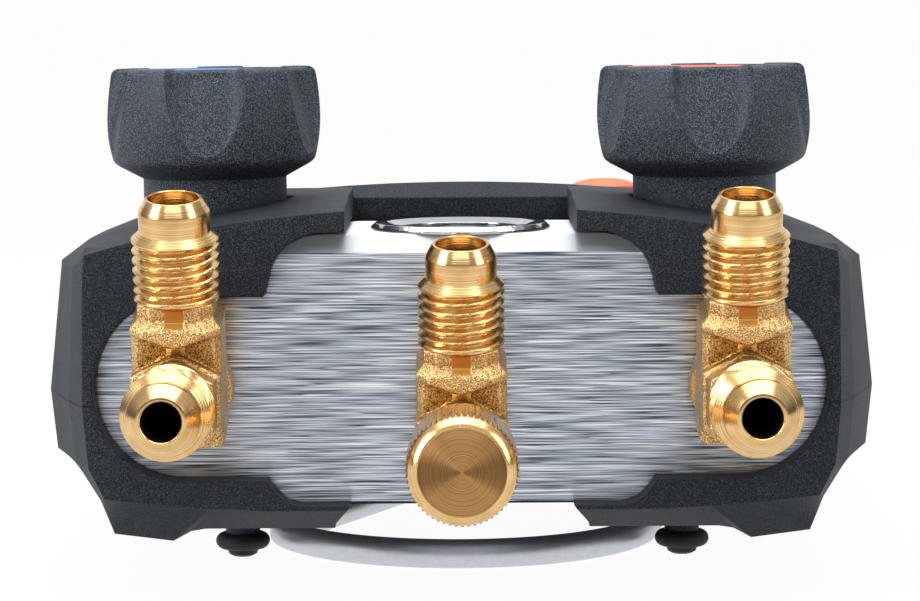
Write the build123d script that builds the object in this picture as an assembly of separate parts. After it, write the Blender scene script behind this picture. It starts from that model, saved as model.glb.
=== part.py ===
"""Digital refrigerant manifold gauge: two valves, three flare elbows, a sight glass and a folding hook.

Frame, in millimetres: +X to the right, +Y from the hose ports towards the display end, +Z out of the
display face. The gauge lies on its back on Z = 0, and the origin is under the middle of its outline.
Depths (d) are measured from the front face of the valve block towards the display end.
"""
from build123d import *
from math import atan2, radians, tan
import os

# ---------------------------------------------------------------- driving dimensions
WIDTH = 112.5  # across the case at the parting line
CASE_DEPTH = 191.0  # block face to the display end of the case
BUMPER_PROUD = 4.0  # how far the bumper stands in front of the block
WALL = 2.6  # moulded wall
FIT = 0.3  # gap between moulded pieces
RUN = 0.05  # radial gap of a turning or sliding fit

# case levels above the rest plane
BACK_Z = 10.0  # back plate
PART_Z = 27.2  # parting line of the two shells
CREST_Z = 54.2  # top of the display housing at its front edge
DECK_SLOPE = 4.5  # degrees the display face falls towards the display end
D_LIP = 22.0  # how far back the gap between the lower lips runs
D_WALL, D_CREST = 30.5, 35.0  # front wall of the display housing, and where its chamfer ends
CORNER_R = 16.0  # plan radius at the display end
ARM_X, ARM_LIFT = 15.1, 0.75  # inner side of the bumper's two arms, and their height over the block
LIP_IN, LIP_OUT = 14.6, 16.9  # ends of the two lower lips, above and below
SHOULDER_X = 50.5  # where the crowned top meets the sides
CROWN = ((16.0, 5.9), (35.0, 4.8), (62.0, 2.4), (72.0, 1.4), (CASE_DEPTH, 1.0))  # depth, fall of the crown
CROWN_X = 42.0  # the crown ends here and a facet falls on to the shoulder
SHOULDER_FALL = ((16.0, 6.4), (35.0, 6.6), (62.0, 5.2), (72.0, 4.6), (CASE_DEPTH, 3.6))  # depth, fall
D_LUG_END = 65.0  # the lugs under the two sides run out behind this depth

# valve block
BLOCK_BOTTOM_Z, BLOCK_TOP_Z = 13.8, 49.0
BLOCK_DEPTH = 29.5
BLOCK_MID_HALF = 25.3  # half width of the full-height middle
BEVEL_D, BEVEL_Z = 3.0, 2.2  # bevel along the top front edge
END_X, END_Z, END_R = 36.1, 29.3, 12.1  # centre and radius of the rounded ends

# flare elbows, 7/16-20 flare ends
PORT_PITCH = 36.1  # side port to centre port
SIDE_PORT_Z, CENTRE_PORT_Z = 29.3, 23.3
ELBOW_REACH = 9.5  # block face to the crossing of an elbow's arms
ARM = 26.5  # crossing to the lip of an arm
LEAN = 13.0  # degrees that the upper arms lean away from the knobs
THREAD_R = 5.555
PILOT_R, PILOT_L = 4.53, 2.8
THREAD_CHAMFER, THREAD_L = 1.0, 8.1
NECK_R = 4.8
CONE_L = 1.6
FRONT_LIP_R, FRONT_BORE_R = 2.95, 2.5
TOP_LIP_R, TOP_BORE_R = 3.5, 3.2
COLLAR, FORGING = 5.9, 5.7  # half width of the hexagon collars and of the forged body
SHANK_R, SPIGOT_R, SPIGOT_L = 6.3, 4.9, 9.5

# sealing cap of the centre port
CAP_R, CAP_FACE_R, CAP_BEVEL = 6.85, 5.35, 1.0
CAP_LENGTH, CAP_END = 12.4, 1.2
GASKET_R, GASKET_T = 3.9, 0.8

# valves and knobs
VALVE_X, D_VALVE = 33.6, 20.0
KNOB_R, KNOB_TOP_R, KNOB_LOW_R = 14.65, 14.1, 13.7
SKIRT_R, SKIRT_WALL, SKIRT_BOTTOM_Z = 9.8, 1.5, 50.4
SKIRT_H, CONE_H, KNOB_H, KNOB_WAIST_H = 5.6, 2.1, 12.9, 6.2  # skirt, cone, grip, foot to widest
CONE_LOW_Z = SKIRT_BOTTOM_Z + SKIRT_H
KNOB_LOW_Z = CONE_LOW_Z + CONE_H
KNOB_MID_Z, KNOB_TOP_Z = KNOB_LOW_Z + KNOB_WAIST_H, KNOB_LOW_Z + KNOB_H
FLUTES, FLUTE_R, FLUTE_AXIS_R, FLUTE_BOTTOM_Z = 5, 10.0, 21.2, KNOB_LOW_Z + 1.2
FLUTE_END = 13.0  # length of a flute's rounded lower end
FLUTE_TURN = 6.4  # degrees each knob is turned from square, mirrored left and right
KNOB_CAP_R, KNOB_CAP_T, KNOB_CAP_SUNK = 10.6, 1.6, 0.35
DIP_R, DIP_DEEP = 12.0, 0.9
SPINDLE_R, SPINDLE_NOSE_R, PLUNGER_R, PLUNGER_L, VALVE_LIFT = 3.0, 2.0, 5.0, 7.0, 3.0
BONNET_R, BONNET_FLANGE_R, BONNET_NUT_R, BONNET_TOP_Z = 6.5, 7.8, 7.0, 49.5
SENSOR_X, SENSOR_Z, SENSOR_R, SENSOR_L = 12.0, 33.0, 6.0, 16.0
GALLERY_Z, GALLERY_R = 20.5, 2.2
D_GALLERY = 20.0

# sight glass
D_SIGHT = 13.5
SIGHT_R, SIGHT_OPEN_R, SIGHT_H = 12.15, 8.6, 0.9
GLASS_R, GLASS_T = 9.4, 3.4

# cells and their lid, laid out from the display end
CELL_R, CELL_L = 7.2, 50.3
CELL_GAP, CONTACT_ROOM = 0.15, 4.7  # between two cells, and for the springs at a cell's two ends
LID_L, LID_HALF = CELL_L + CONTACT_ROOM, 30.5
D_LID = CASE_DEPTH - 9.0 - LID_L
TRAY_HALF, TRAY_WALL, TRAY_LEDGE = 4 * CELL_R + 3.4, 2.8, 1.6

# hook
HOOK_ROD_R = 2.05
HOOK_Z = 2.15
HOOK_REACH = 59.0  # pivot to the middle of the loop
LOOP_FREE, LOOP_LEFT = 14.0, -158.2  # directions of the loop's free end and of its bend
BEND_R, BEND_TURN, STEM_BEND_R = 5.0, 46.3, 12.0
D_PIVOT, PIVOT_Z = D_LID - 14.0, 4.0
LOOP_R, D_LOOP = 28.0, D_PIVOT - HOOK_REACH
KNUCKLE_R, KNUCKLE_HALF = 3.6, 7.0
EAR_IN, EAR_OUT = 7.3, 11.3
PIN_R = 1.5

# hose parking posts and rear rails
POST_X, D_POST, POST_R, GROOVE_R = 31.8, D_LOOP - 16.0, 2.5, 1.6
TIP_R, POST_TOP_Z = 2.3, 13.0
RING_TUBE, RING_Z = 1.15, 2.25
RAIL_IN, RAIL_OUT, D_RAIL, RAIL_Z = 33.0, 48.0, 96.0, 1.2
PAD_L, PAD_W = 24.0, 7.0

# screws that hold the two shells, as (x, depth) of one side
SCREWS = ((26.0, D_PIVOT - 13.0), (26.0, D_LID + LID_L + 4.0), (43.0, 72.0))
SCREW_R, SCREW_HEAD_R, SCREW_HEAD_L, SCREW_SUNK, SCREW_L = 1.5, 2.8, 1.8, 0.4, 9.0

# display, keys and batteries
WINDOW_W, WINDOW_L, D_WINDOW, WINDOW_T = 80.0, 66.0, 133.0, 1.8
WINDOW_LEDGE, LCD_MARGIN, LCD_T = 4.0, 5.0, 3.0
D_KEYS, KEY_TRAVEL = 75.0, 0.8
MAIN_KEY_X, MAIN_KEY_R, MAIN_KEY_DOME = 22.4, 5.4, 1.45
FLAT_KEYS_X, FLAT_KEY_R, FLAT_KEY_PROUD = (-24.0, -8.5, 7.0), 5.4, 0.35
KEY_FLANGE, KEY_FLANGE_T = 1.2, 1.0
BOARD_DROP, BOARD_T, BOARD_W = 8.6, 1.6, WIDTH - 24.5
D_BOARD_END, BOARD_L = CASE_DEPTH - 11.0, CASE_DEPTH - 11.0 - (BLOCK_DEPTH + 22.5)
D_BOARD = D_BOARD_END - BOARD_L / 2
SOCKET_X, SOCKET_R, SOCKET_DEEP = 24.0, 5.0, 8.0

BONNET_SEAT_Z = END_Z + END_R
BONNET_LOW_Z = BONNET_SEAT_Z - 4.0
SWITCH_T = 1.6
SWITCH_TOP = -BOARD_DROP + BOARD_T / 2 + SWITCH_T
FRONT = ELBOW_REACH + ARM + GASKET_T + CAP_END  # block face to the front of the cap
FACE_Y = (FRONT - CASE_DEPTH) / 2
PARTS = {}


def at(depth):
    """Y of a depth behind the block face."""
    return FACE_Y + depth


def box(x0, x1, d0, d1, z0, z1):
    """Box between two X, two depths and two heights."""
    middle = ((x0 + x1) / 2, at((d0 + d1) / 2), (z0 + z1) / 2)
    return Pos(*middle) * Box(abs(x1 - x0), abs(d1 - d0), abs(z1 - z0))


def rod_z(x, depth, z0, z1, radius):
    """Upright cylinder."""
    return Pos(x, at(depth), (z0 + z1) / 2) * Cylinder(radius, z1 - z0)


def rod_y(x, z, d0, d1, radius):
    """Cylinder along Y between two depths."""
    return Pos(x, at((d0 + d1) / 2), z) * Rot(90, 0, 0) * Cylinder(radius, d1 - d0)


def rod_x(depth, z, x0, x1, radius):
    """Cylinder along X."""
    return Pos((x0 + x1) / 2, at(depth), z) * Rot(0, 90, 0) * Cylinder(radius, x1 - x0)


def turned(points):
    """Solid turned about Z from (radius, height) points."""
    profile = Polyline(*[(r, 0, z) for r, z in points], close=True)
    return revolve(make_face(profile), Axis.Z)


def upright(points, d0, d1):
    """Prism of an (X, Z) outline between two depths."""
    face = make_face(Polyline(*[(x, at(d0), z) for x, z in points], close=True))
    return extrude(face, amount=d1 - d0, dir=(0, 1, 0))


def sideways(points, x0, x1):
    """Prism of a (depth, Z) outline between two X."""
    face = make_face(Polyline(*[(x0, at(d), z) for d, z in points], close=True))
    return extrude(face, amount=x1 - x0, dir=(1, 0, 0))


def both(shape):
    """The shape and its mirror image across X = 0."""
    return shape + mirror(shape, Plane.YZ)


def on_deck(x, depth):
    """Placement on the sloping display face, with Z along its normal."""
    fall = crown_fall(depth) * (x / SHOULDER_X) ** 2
    return Pos(x, at(depth), crest(depth) - fall) * Rot(-DECK_SLOPE, 0, 0)


# ---------------------------------------------------------------- case form
def crest(depth):
    """Height of the display face on the centre line."""
    return CREST_Z - max(0.0, depth - D_CREST) * tan(radians(DECK_SLOPE))


def fall_at(table, depth):
    """Fall read from a table of depths and falls."""
    for (near, near_fall), (far, far_fall) in zip(table, table[1:]):
        if depth <= far:
            share = max(0.0, depth - near) / (far - near)
            return near_fall + share * (far_fall - near_fall)
    return table[-1][1]


def crown_fall(depth):
    """Fall of the crown at a depth, if it ran on to the shoulders."""
    return fall_at(CROWN, depth)


def section(depth, low, side, top, inset=0.0):
    """Outline of the case at one depth: flat back, faceted sides and a crowned top."""
    y = at(depth)
    right = []
    for x, z in low + side:
        rise = inset if z < PART_Z else -inset
        right.append((x - inset, z if z == PART_Z else z + rise))
    outline = [(-x, y, z) for x, z in reversed(right)] + [(x, y, z) for x, z in right]
    crown = ThreePointArc(outline[-1], (0, y, top - inset), outline[0])
    return make_face(Polyline(*outline) + crown)


def wide_row(depth):
    """A full-width section whose top shoulder follows the display face."""
    top, sag = crest(depth), fall_at(SHOULDER_FALL, depth)
    crown_z = top - crown_fall(depth) * (CROWN_X / SHOULDER_X) ** 2
    low = [(34.1, BACK_Z), (36.0, BACK_Z), (38.4, BACK_Z), (46.0, BACK_Z), (48.2, 13.7)]
    if depth < D_LUG_END:
        low[1:4] = [(36.0, 9.5), (38.4, 8.0), (46.3, 9.0)]
    side = [(55.4, 19.0), (WIDTH / 2, PART_Z), (54.4, top - sag - 2.9), (SHOULDER_X, top - sag)]
    side.append((CROWN_X, crown_z))
    return depth, low, side, top


def case_form(inset=0.0):
    """The whole case as one solid, or the space inside its walls."""
    nose = [
        (
            -BUMPER_PROUD,
            [(25.0, 13.3), (33.0, 13.7), (36.5, 14.0), (40.0, 14.3), (46.8, 15.0)],
            [(48.8, 19.0), (49.5, PART_Z), (49.2, 44.6), (48.9, 47.0), (CROWN_X, 48.9)],
            53.05,
        ),
        (
            2.0,
            [(34.1, BACK_Z), (36.0, 9.7), (38.4, 8.4), (46.2, 9.4), (48.0, 13.9)],
            [(51.2, 19.1), (52.0, PART_Z), (51.2, 45.0), (49.5, 47.5), (CROWN_X, 49.3)],
            53.5,
        ),
    ]
    if inset:
        rows = [wide_row(d) for d in (BLOCK_DEPTH + 2 * WALL, 80.0, CASE_DEPTH - WALL)]
    else:
        rows = nose + [wide_row(d) for d, fall in CROWN]
    return loft([section(*row, inset=inset) for row in rows], ruled=True)


def plan_trim(inset=0.0):
    """Prism that rounds the two corners at the display end."""
    with BuildSketch(Plane.XY) as plan:
        with Locations((0, at((CASE_DEPTH - inset) / 2 - 20))):
            Rectangle(WIDTH + 2 - 2 * inset, CASE_DEPTH - inset + 40)
        fillet(plan.vertices().sort_by(Axis.Y)[-2:], CORNER_R - inset)
    return extrude(plan.sketch, amount=2 * CREST_Z)


def block_outline(lift=0.0):
    """Front outline of the block: a tall middle that sweeps down to the rounded ends."""
    low = END_Z - END_R
    high = END_Z + END_R
    right = [
        (21.2, BLOCK_BOTTOM_Z),
        (23.1, 14.3),
        (24.4, 15.5),
        (25.6, low),
        (END_X, low),
        (END_X, high),
        (25.7, high),
        (25.2, 43.9),
        (24.7, 45.4),
        (23.9, 46.7),
        (22.6, 47.9 + lift / 4),
        (20.7, 48.7 + lift / 2),
        (18.9, BLOCK_TOP_Z + lift),
    ]
    return right + [(-x, z) for x, z in reversed(right)]


def hexagon(radius, amount):
    """Forged collar: a square prism with broad chamfers, along Z."""
    body = Box(2 * radius, 2 * radius, amount, align=(Align.CENTER, Align.CENTER, Align.MIN))
    return chamfer(body.edges().filter_by(Axis.Z), radius * 0.42)


# ---------------------------------------------------------------- shells
outer = case_form() & plan_trim()
cavity = case_form(WALL) & plan_trim(WALL)
block_room = upright(block_outline(ARM_LIFT), -20, BLOCK_DEPTH + FIT)
block_room += both(rod_y(END_X, END_Z, -20, BLOCK_DEPTH + FIT, END_R))
block_room += box(-ARM_X, ARM_X, -20, D_WALL, BLOCK_TOP_Z - 6, 80)
block_room += upright([(-LIP_OUT, BACK_Z - 4), (LIP_OUT, BACK_Z - 4), (LIP_OUT, BACK_Z + 0.6),
                       (LIP_IN, BLOCK_BOTTOM_Z + 0.1), (-LIP_IN, BLOCK_BOTTOM_Z + 0.1),
                       (-LIP_OUT, BACK_Z + 0.6)], -20, D_LIP)
shell = outer - block_room
wall_bevel = sideways(
    [(D_WALL - 0.01, 52.2), (D_CREST, CREST_Z + 0.02), (D_CREST, 60), (D_WALL - 0.01, 60)], -16.5, 16.5
)
shell -= wall_bevel
shell -= both(rod_z(VALVE_X, D_VALVE, SKIRT_BOTTOM_Z - 1.2, 60.0, SKIRT_R + 0.9))
shell -= both(rod_z(VALVE_X, D_VALVE, END_Z, 60.0, BONNET_FLANGE_R + FIT))
shell -= both(rod_y(SENSOR_X, SENSOR_Z, 0, 60, SENSOR_R + FIT))
shell -= cavity
rear_half = box(-60, 60, -30, CASE_DEPTH + 5, -2, PART_Z)
front_half = box(-60, 60, -30, CASE_DEPTH + 5, PART_Z, 70)
front = shell & front_half
rear = shell & rear_half

# display recess, window, keys
window_cut = on_deck(0, D_WINDOW) * Box(WINDOW_W, WINDOW_L, 2 * WINDOW_T)
glass_hole = on_deck(0, D_WINDOW) * Box(WINDOW_W - 2 * WINDOW_LEDGE, WINDOW_L - 2 * WINDOW_LEDGE, 30)
front -= window_cut
front -= glass_hole
window = on_deck(0, D_WINDOW) * Pos(0, 0, -WINDOW_T / 2) * Box(
    WINDOW_W - 2 * FIT, WINDOW_L - 2 * FIT, WINDOW_T - 0.2
)
lcd = on_deck(0, D_WINDOW) * Pos(0, 0, -WINDOW_T - LCD_T / 2 - 0.6) * Box(
    WINDOW_W - 2 * LCD_MARGIN, WINDOW_L - 2 * LCD_MARGIN, LCD_T
)
board = on_deck(0, D_BOARD) * Pos(0, 0, -BOARD_DROP) * Box(BOARD_W, BOARD_L, BOARD_T)
PARTS["display_window"] = window
PARTS["lcd_module"] = lcd + on_deck(0, D_WINDOW) * Pos(0, 0, -6.6) * Box(WINDOW_W - 16, WINDOW_L - 16, 1.9)
PARTS["circuit_board"] = board


def key(x, radius, proud, dome):
    """Key cap with a retaining flange under the deck."""
    flange_z = -WALL - 0.5 - KEY_FLANGE_T
    foot_z = SWITCH_TOP + KEY_TRAVEL + 0.5
    points = [
        (0, foot_z),
        (1.6, foot_z),
        (1.6, flange_z),
        (radius + KEY_FLANGE, flange_z),
        (radius + KEY_FLANGE, flange_z + KEY_FLANGE_T),
        (radius, flange_z + KEY_FLANGE_T),
        (radius, proud),
    ]
    if dome:
        points += [(radius * 0.86, proud + dome * 0.45), (radius * 0.6, proud + dome * 0.8)]
        points += [(radius * 0.3, proud + dome * 0.96)]
    points += [(0, proud + dome)]
    return on_deck(x, D_KEYS) * turned(points)


for number, x in enumerate(FLAT_KEYS_X, 1):
    PARTS[f"menu_key_{number}"] = key(x, FLAT_KEY_R, FLAT_KEY_PROUD, 0.0)
PARTS["power_key"] = key(MAIN_KEY_X, MAIN_KEY_R, 0.25, MAIN_KEY_DOME)
for x in FLAT_KEYS_X + (MAIN_KEY_X,):
    front -= on_deck(x, D_KEYS) * Cylinder(MAIN_KEY_R + 0.2, 12)
plungers = []
for x in FLAT_KEYS_X + (MAIN_KEY_X,):
    place = Pos(x, 0, 0) * on_deck(0, D_KEYS)
    plungers.append(place * Pos(0, 0, SWITCH_TOP - SWITCH_T / 2) * Box(6, 6, SWITCH_T))
PARTS["key_switches"] = Compound(plungers)

# rear rails, battery bay, hook bracket
rail = upright([(RAIL_IN + 2, RAIL_Z), (RAIL_OUT - 3, RAIL_Z), (RAIL_OUT, 14.5), (RAIL_IN, 14.5)],
               D_RAIL, D_LID + LID_L)
rail -= sideways([(D_RAIL - 1, 0), (D_RAIL + 12, 0), (D_RAIL - 1, 12)], RAIL_IN - 5, RAIL_OUT + 5)
rear += both(rail)
rear -= box(-LID_HALF - FIT, LID_HALF + FIT, D_LID - FIT, D_LID + LID_L + FIT, BACK_Z - 1, BACK_Z + WALL + 1)
PARTS["battery_lid"] = box(-LID_HALF, LID_HALF, D_LID, D_LID + LID_L, BACK_Z, BACK_Z + WALL)
pads = []
for hand in (-1, 1):
    for d in (D_RAIL + 14, D_LID + LID_L - PAD_L - 2):
        x = hand * (RAIL_IN + RAIL_OUT - 1) / 2
        pads.append(box(x - PAD_W / 2, x + PAD_W / 2, d, d + PAD_L, 0, RAIL_Z))
PARTS["foot_pads"] = Compound(pads)
screws = []
for x, d in SCREWS:
    for hand in (-1, 1):
        rear -= rod_z(hand * x, d, BACK_Z - 1, BACK_Z + SCREW_SUNK + SCREW_HEAD_L, SCREW_HEAD_R + FIT)
        rear -= rod_z(hand * x, d, BACK_Z, BACK_Z + 30, SCREW_R)
        head = rod_z(hand * x, d, BACK_Z + SCREW_SUNK, BACK_Z + SCREW_SUNK + SCREW_HEAD_L, SCREW_HEAD_R)
        screws.append(head + rod_z(hand * x, d, BACK_Z + SCREW_SUNK, BACK_Z + SCREW_L, SCREW_R))
PARTS["case_screws"] = Compound(screws)
ears = both(box(EAR_IN, EAR_OUT, D_PIVOT - 5, D_PIVOT + 5, PIVOT_Z, BACK_Z))
ears += both(rod_x(D_PIVOT, PIVOT_Z, EAR_IN, EAR_OUT, 3.9))
ears += both(box(EAR_IN, EAR_OUT + 5, D_PIVOT - 8, D_PIVOT + 8, BACK_Z - 2.2, BACK_Z))
ears -= rod_x(D_PIVOT, PIVOT_Z, -20, 20, PIN_R)
PARTS["hook_bracket"] = ears
PARTS["hook_pin"] = rod_x(D_PIVOT, PIVOT_Z, -EAR_OUT - 0.8, EAR_OUT + 0.8, PIN_R)

# battery cells in a tray
tray_top = BACK_Z + WALL + 2 * CELL_R + 1.6
tray = box(-TRAY_HALF, TRAY_HALF, D_LID - TRAY_LEDGE, D_LID + LID_L + TRAY_LEDGE, BACK_Z + WALL, tray_top)
tray -= box(TRAY_WALL - TRAY_HALF, TRAY_HALF - TRAY_WALL, D_LID + 1.0, D_LID + LID_L - 1.0, 0, tray_top - 1.2)
PARTS["battery_tray"] = tray
cells = []
for row in range(4):
    x = (row - 1.5) * (2 * CELL_R + CELL_GAP)
    z = BACK_Z + WALL + 0.2 + CELL_R
    can = rod_y(x, z, D_LID + 2.2, D_LID + 1.0 + CELL_L, CELL_R)
    cells.append(can + rod_y(x, z, D_LID + CELL_L, D_LID + 2.2 + CELL_L, 2.7))
PARTS["battery_cells"] = Compound(cells)

# probe sockets in the two sides of the case
sockets = []
for d in (60.0, 86.0):
    hole = rod_x(d, 37.0, 40, 70, SOCKET_R + FIT)
    front -= both(hole)
    body = rod_x(d, 37.0, 46.5, 54.6, SOCKET_R)
    body -= rod_x(d, 37.0, 48.0, 60, SOCKET_R - 1.4)
    sockets += [body, mirror(body, Plane.YZ)]
PARTS["probe_sockets"] = Compound(sockets)

# ---------------------------------------------------------------- valve block
block = upright(block_outline(), 0, BLOCK_DEPTH)
block += both(rod_y(END_X, END_Z, 0, BLOCK_DEPTH, END_R))
block -= sideways([(-1, BLOCK_TOP_Z - BEVEL_Z), (0, BLOCK_TOP_Z - BEVEL_Z), (BEVEL_D, BLOCK_TOP_Z),
                   (BEVEL_D, BLOCK_TOP_Z + 2), (-1, BLOCK_TOP_Z + 2)], -30, 30)
for hand in (-1, 1):
    # valve bore, its bonnet seat and the passage out to the side port
    x = hand * VALVE_X
    block -= rod_z(x, D_VALVE, GALLERY_Z + 3, 60, PLUNGER_R + RUN)
    block -= rod_z(x, D_VALVE, BONNET_LOW_Z, 60, BONNET_R)
    block -= rod_z(x, D_VALVE, GALLERY_Z - 1.0, 30, 1.8)
    block -= rod_y(hand * PORT_PITCH, SIDE_PORT_Z, -1, SPIGOT_L + 1, SPIGOT_R)
    block -= rod_y(hand * PORT_PITCH, SIDE_PORT_Z, -1, D_VALVE - 2, 2.4)
block -= rod_y(0, CENTRE_PORT_Z, -1, SPIGOT_L + 1, SPIGOT_R)
block -= rod_y(0, CENTRE_PORT_Z, -1, D_GALLERY, 2.4)
block -= rod_x(D_GALLERY, GALLERY_Z, -VALVE_X - 4, VALVE_X + 4, GALLERY_R)
block -= rod_z(0, D_SIGHT, 30.0, 60, 4.0)
block -= rod_z(0, D_SIGHT, BLOCK_TOP_Z - 5.0, 60, GLASS_R + 0.2)
block -= both(rod_y(SENSOR_X, SENSOR_Z, BLOCK_DEPTH - 5, BLOCK_DEPTH + 1, 3.5))
PARTS["valve_block"] = block

# sight glass: window on an O-ring under a screwed ring
ring = turned([(SIGHT_OPEN_R, 0), (SIGHT_R, 0), (SIGHT_R, 0.35), (SIGHT_R - 0.6, SIGHT_H),
               (SIGHT_OPEN_R + 1.6, SIGHT_H), (SIGHT_OPEN_R, 0.25)])
PARTS["sight_glass_ring"] = Pos(0, at(D_SIGHT), BLOCK_TOP_Z) * ring
PARTS["sight_glass_window"] = rod_z(0, D_SIGHT, BLOCK_TOP_Z - GLASS_T, BLOCK_TOP_Z - 0.05, GLASS_R)
glass_seal = Pos(0, at(D_SIGHT), BLOCK_TOP_Z - GLASS_T - 0.8) * Torus(7.6, 0.8)
PARTS["sight_glass_seal"] = glass_seal


# ---------------------------------------------------------------- flare elbows
def flare_arm(lip_r, bore_r):
    """Machined flare end along +Z from the crossing, with its 45 degree seat."""
    lip = ARM
    seat = lip - CONE_L
    pilot = seat - PILOT_L
    root = pilot - THREAD_CHAMFER - THREAD_L
    points = [
        (0, 0),
        (NECK_R, 0),
        (NECK_R, root),
        (THREAD_R, root + 0.6),
        (THREAD_R, pilot - THREAD_CHAMFER),
        (PILOT_R, pilot),
        (PILOT_R, seat),
        (lip_r, lip),
        (bore_r, lip),
        (bore_r, lip - 2.0),
        (2.5, lip - 2.6),
        (0, lip - 2.6),
    ]
    return turned(points)


def elbow(x, z):
    """Forged elbow: flare arm forward, flare arm up, shank into the block."""
    forward = Rot(90, 0, 0)
    upward = Rot(LEAN, 0, 0)
    up_root = ARM - CONE_L - PILOT_L - THREAD_CHAMFER - THREAD_L
    body = forward * Pos(0, 0, -ELBOW_REACH) * turned([(0, 0), (SHANK_R, 0), (SHANK_R, 6.0), (0, 6.0)])
    body += forward * Pos(0, 0, -6.5) * hexagon(FORGING, 13.5)
    body += forward * Pos(0, 0, 5.0) * hexagon(COLLAR, 7.4)
    body += upward * hexagon(FORGING - 0.3, 7.0)
    body += upward * Pos(0, 0, 6.0) * hexagon(COLLAR - 0.15, 4.0)
    body += forward * flare_arm(FRONT_LIP_R, FRONT_BORE_R)
    body += upward * flare_arm(TOP_LIP_R, TOP_BORE_R)
    body += forward * Pos(0, 0, -ELBOW_REACH - SPIGOT_L) * Cylinder(
        SPIGOT_R, SPIGOT_L + 1, align=(Align.CENTER, Align.CENTER, Align.MIN)
    )
    body -= forward * Pos(0, 0, 4) * Cylinder(2.5, 70)
    body -= upward * Pos(0, 0, 20) * Cylinder(2.5, 40)
    return Pos(x, at(-ELBOW_REACH), z) * body


PARTS["low_side_elbow"] = elbow(-PORT_PITCH, SIDE_PORT_Z)
PARTS["high_side_elbow"] = elbow(PORT_PITCH, SIDE_PORT_Z)
PARTS["service_elbow"] = elbow(0, CENTRE_PORT_Z)

# ---------------------------------------------------------------- sealing cap
cap = turned([
    (0, 0),
    (CAP_FACE_R, 0),
    (CAP_R - 0.35, -CAP_BEVEL),
    (CAP_R, -CAP_BEVEL - 0.4),
    (CAP_R, -CAP_LENGTH),
    (THREAD_R + RUN, -CAP_LENGTH),
    (THREAD_R + RUN, -CAP_END - GASKET_T - CONE_L - PILOT_L - 0.4),
    (PILOT_R + 0.1, -CAP_END - GASKET_T - CONE_L - PILOT_L + 0.8),
    (PILOT_R + 0.1, -CAP_END),
    (0, -CAP_END),
])
front_place = Pos(0, at(-FRONT), CENTRE_PORT_Z) * Rot(90, 0, 0)
PARTS["sealing_cap"] = front_place * cap
PARTS["cap_gasket"] = front_place * Pos(0, 0, -CAP_END - GASKET_T / 2) * Cylinder(GASKET_R, GASKET_T)


# ---------------------------------------------------------------- knobs and valves
def knob_body():
    """Round hand knob with five scooped flutes and a hollow skirt, along Z in case heights."""
    lower = Polyline(
        (KNOB_TOP_R - 0.9, KNOB_TOP_Z), (0, KNOB_TOP_Z), (0, KNOB_LOW_Z - 1.0),
        (SKIRT_R - SKIRT_WALL, KNOB_LOW_Z - 1.0), (SKIRT_R - SKIRT_WALL, SKIRT_BOTTOM_Z),
        (SKIRT_R, SKIRT_BOTTOM_Z), (SKIRT_R, CONE_LOW_Z), (KNOB_LOW_R - 0.4, KNOB_LOW_Z - 0.2),
        (KNOB_LOW_R, KNOB_LOW_Z + 0.3),
    )
    side = ThreePointArc((KNOB_LOW_R, KNOB_LOW_Z + 0.3), (KNOB_R, KNOB_MID_Z), (KNOB_TOP_R, KNOB_TOP_Z - 0.9))
    rim = RadiusArc((KNOB_TOP_R, KNOB_TOP_Z - 0.9), (KNOB_TOP_R - 0.9, KNOB_TOP_Z), -0.95)
    body = revolve(Rot(90, 0, 0) * make_face(lower + side + rim), Axis.Z)
    scoop_z = FLUTE_BOTTOM_Z + FLUTE_END * 0.73
    round_end = ThreePointArc((0, -FLUTE_END), (0.72 * FLUTE_R, -0.72 * FLUTE_END), (FLUTE_R, 0))
    wall = Polyline((FLUTE_R, 0), (FLUTE_R, 20), (0, 20), (0, -FLUTE_END))
    half = Rot(90, 0, 0) * make_face(round_end + wall)
    scoop = Pos(FLUTE_AXIS_R, 0, scoop_z) * Rot(0, 0, 40) * revolve(half, Axis.Z)
    dip_z = KNOB_TOP_Z - DIP_DEEP + DIP_R
    dip = Pos(KNOB_CAP_R + 2, 0, dip_z) * Rot(0, 90, 0) * Rot(0, 0, 180) * Cylinder(DIP_R, 8)
    for turn in range(FLUTES):
        body -= Rot(0, 0, turn * 360 / FLUTES) * scoop
        body -= Rot(0, 0, turn * 360 / FLUTES) * dip
    body -= Pos(0, 0, KNOB_TOP_Z - KNOB_CAP_T) * Cylinder(
        KNOB_CAP_R, 5, align=(Align.CENTER, Align.CENTER, Align.MIN)
    )
    return body


def knob_disc():
    """Coloured disc that is pressed into the top of a knob."""
    height = KNOB_CAP_T - KNOB_CAP_SUNK
    disc = Cylinder(KNOB_CAP_R, height, align=(Align.CENTER, Align.CENTER, Align.MIN))
    return Pos(0, 0, KNOB_TOP_Z - KNOB_CAP_T) * disc


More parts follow.
